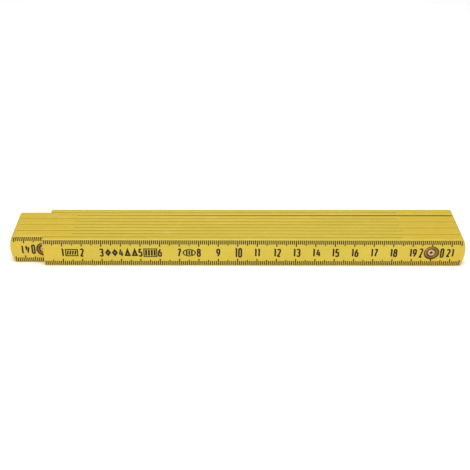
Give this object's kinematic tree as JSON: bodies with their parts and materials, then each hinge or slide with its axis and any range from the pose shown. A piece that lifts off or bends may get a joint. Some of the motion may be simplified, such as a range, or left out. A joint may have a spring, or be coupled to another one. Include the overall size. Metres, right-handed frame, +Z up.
{
  "type": "folding rule",
  "caption": "Folded carpenter's rule: a stack of flat yellow leaves with centimetre scales, riveted end to end on detent joints so that it opens out straight.",
  "frame": {"origin": "on the surface that the folded rule stands on, midway between the two rows of joints and in the middle of the stack", "axes": "+X along the leaves, from the zero end of the first leaf to its joint; +Z up, across the width of the leaves; -Y is the numbered face of the first leaf"},
  "size_m": [0.2348, 0.0311, 0.016],
  "materials": {
    "leaf_plastic": "satin moulded glass-filled polyamide, yellow",
    "rivet_brass": "coppered, slightly tarnished",
    "washer_brass": "coppered, slightly tarnished",
    "spring_steel": "bright spring steel",
    "scale_ink": "dark brown printed ink"
  },
  "bodies": {
    "section_01": {"leaf_01": "leaf_plastic", "rivet_1": "rivet_brass", "front_washer_1": "washer_brass", "rear_washer_1": "washer_brass"},
    "section_02": {"leaf_02": "leaf_plastic", "rivet_2": "rivet_brass", "front_washer_2": "washer_brass", "rear_washer_2": "washer_brass", "detent_spring_1": "spring_steel"},
    "section_03": {"leaf_03": "leaf_plastic", "rivet_3": "rivet_brass", "front_washer_3": "washer_brass", "rear_washer_3": "washer_brass", "detent_spring_2": "spring_steel"},
    "section_04": {"leaf_04": "leaf_plastic", "rivet_4": "rivet_brass", "front_washer_4": "washer_brass", "rear_washer_4": "washer_brass", "detent_spring_3": "spring_steel"},
    "section_05": {"leaf_05": "leaf_plastic", "rivet_5": "rivet_brass", "front_washer_5": "washer_brass", "rear_washer_5": "washer_brass", "detent_spring_4": "spring_steel"},
    "section_06": {"leaf_06": "leaf_plastic", "rivet_6": "rivet_brass", "front_washer_6": "washer_brass", "rear_washer_6": "washer_brass", "detent_spring_5": "spring_steel"},
    "section_07": {"leaf_07": "leaf_plastic", "rivet_7": "rivet_brass", "front_washer_7": "washer_brass", "rear_washer_7": "washer_brass", "detent_spring_6": "spring_steel"},
    "section_08": {"leaf_08": "leaf_plastic", "rivet_8": "rivet_brass", "front_washer_8": "washer_brass", "rear_washer_8": "washer_brass", "detent_spring_7": "spring_steel"},
    "section_09": {"leaf_09": "leaf_plastic", "rivet_9": "rivet_brass", "front_washer_9": "washer_brass", "rear_washer_9": "washer_brass", "detent_spring_8": "spring_steel"},
    "section_10": {"leaf_10": "leaf_plastic", "detent_spring_9": "spring_steel"}
  },
  "joints": [
    {"name": "hinge_1", "type": "hinge", "parent": "section_01", "child": "section_02", "pos_m": [0.1, -0.01226, 0.008], "axis": [0, 1, 0], "range_deg": [-180, 180]},
    {"name": "hinge_2", "type": "hinge", "parent": "section_02", "child": "section_03", "pos_m": [-0.1, -0.0092, 0.008], "axis": [0, 1, 0], "range_deg": [-180, 180]},
    {"name": "hinge_3", "type": "hinge", "parent": "section_03", "child": "section_04", "pos_m": [0.1, -0.00613, 0.008], "axis": [0, 1, 0], "range_deg": [-180, 180]},
    {"name": "hinge_4", "type": "hinge", "parent": "section_04", "child": "section_05", "pos_m": [-0.1, -0.00307, 0.008], "axis": [0, 1, 0], "range_deg": [-180, 180]},
    {"name": "hinge_5", "type": "hinge", "parent": "section_05", "child": "section_06", "pos_m": [0.1, 0, 0.008], "axis": [0, 1, 0], "range_deg": [-180, 180]},
    {"name": "hinge_6", "type": "hinge", "parent": "section_06", "child": "section_07", "pos_m": [-0.1, 0.00307, 0.008], "axis": [0, 1, 0], "range_deg": [-180, 180]},
    {"name": "hinge_7", "type": "hinge", "parent": "section_07", "child": "section_08", "pos_m": [0.1, 0.00613, 0.008], "axis": [0, 1, 0], "range_deg": [-180, 180]},
    {"name": "hinge_8", "type": "hinge", "parent": "section_08", "child": "section_09", "pos_m": [-0.1, 0.0092, 0.008], "axis": [0, 1, 0], "range_deg": [-180, 180]},
    {"name": "hinge_9", "type": "hinge", "parent": "section_09", "child": "section_10", "pos_m": [0.09999, 0.01296, 0.008], "axis": [-0.0035, 1, 0], "range_deg": [-180, 180]}
  ]
}
